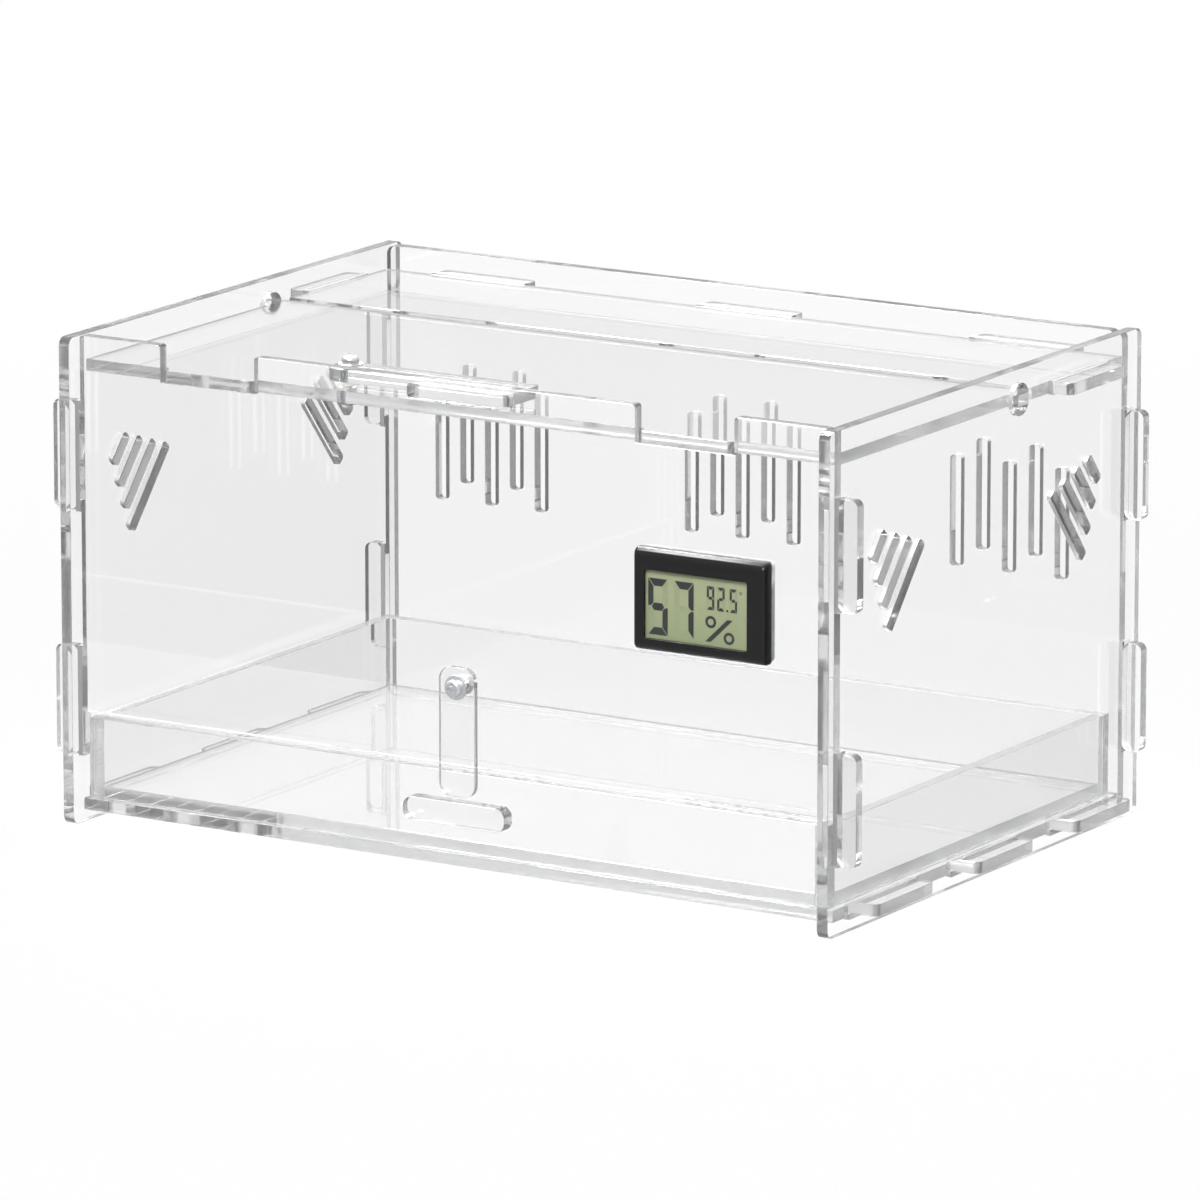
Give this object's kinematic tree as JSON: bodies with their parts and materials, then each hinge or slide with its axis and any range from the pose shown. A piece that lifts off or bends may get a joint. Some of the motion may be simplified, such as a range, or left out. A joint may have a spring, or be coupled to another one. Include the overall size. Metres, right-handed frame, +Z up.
{
  "type": "acrylic reptile terrarium",
  "caption": "Clear flat-pack acrylic terrarium: slotted and tabbed sheets, hinged lid with a turning latch, pull-out substrate drawer and a small panel meter.",
  "frame": {"origin": "on the floor under the middle of the box, at the foot of the panels", "axes": "+X to the right along the front, +Y from the front to the back, +Z up"},
  "size_m": [0.299, 0.1975, 0.1607],
  "materials": {
    "clear_acrylic": "clear polished sheet with laser-cut edges",
    "steel_fastener": "bright zinc plate",
    "nylon_spacer": "natural nylon",
    "black_plastic": "glossy moulded black",
    "meter_lens": "clear polished",
    "lcd_glass": "olive-grey liquid crystal",
    "circuit_board": "green solder mask",
    "cell_steel": "plated steel"
  },
  "bodies": {
    "enclosure": {"left_side_panel": "clear_acrylic", "right_side_panel": "clear_acrylic", "front_panel": "clear_acrylic", "back_panel": "clear_acrylic", "base_plate": "clear_acrylic", "rear_top_strip": "clear_acrylic", "drawer_latch_bolt": "steel_fastener", "drawer_latch_washer": "steel_fastener", "drawer_latch_nut": "steel_fastener", "meter_bezel": "black_plastic", "meter_window": "meter_lens", "meter_display": "lcd_glass", "meter_board": "circuit_board", "meter_case": "black_plastic", "meter_battery_door": "black_plastic", "meter_button_cells": "cell_steel"},
    "lid": {"lid_panel": "clear_acrylic", "lid_latch_bolt": "steel_fastener", "lid_latch_washer": "steel_fastener", "lid_latch_spacer": "nylon_spacer", "lid_latch_nut": "steel_fastener"},
    "lid_latch": {"lid_latch_lever": "clear_acrylic"},
    "drawer": {"tray_front_wall": "clear_acrylic", "tray_back_wall": "clear_acrylic", "tray_left_wall": "clear_acrylic", "tray_right_wall": "clear_acrylic", "tray_floor": "clear_acrylic", "drawer_pull": "clear_acrylic"},
    "drawer_latch": {"drawer_latch_strap": "clear_acrylic"}
  },
  "joints": [
    {"name": "lid_hinge", "type": "hinge", "parent": "enclosure", "child": "lid", "pos_m": [0, 0.02, 0.15], "axis": [-1, 0, 0], "range_deg": [0, 150]},
    {"name": "lid_latch_turn", "type": "hinge", "parent": "lid", "child": "lid_latch", "pos_m": [-0.045, -0.078, 0.1557], "axis": [0, 0, 1], "range_deg": [0, 180]},
    {"name": "drawer_slide", "type": "slide", "parent": "enclosure", "child": "drawer", "axis": [0, -1, 0], "range_m": [0, 0.15]},
    {"name": "drawer_latch_turn", "type": "hinge", "parent": "enclosure", "child": "drawer_latch", "pos_m": [0.005, -0.0937, 0.0626], "axis": [0, -1, 0], "continuous": true}
  ]
}
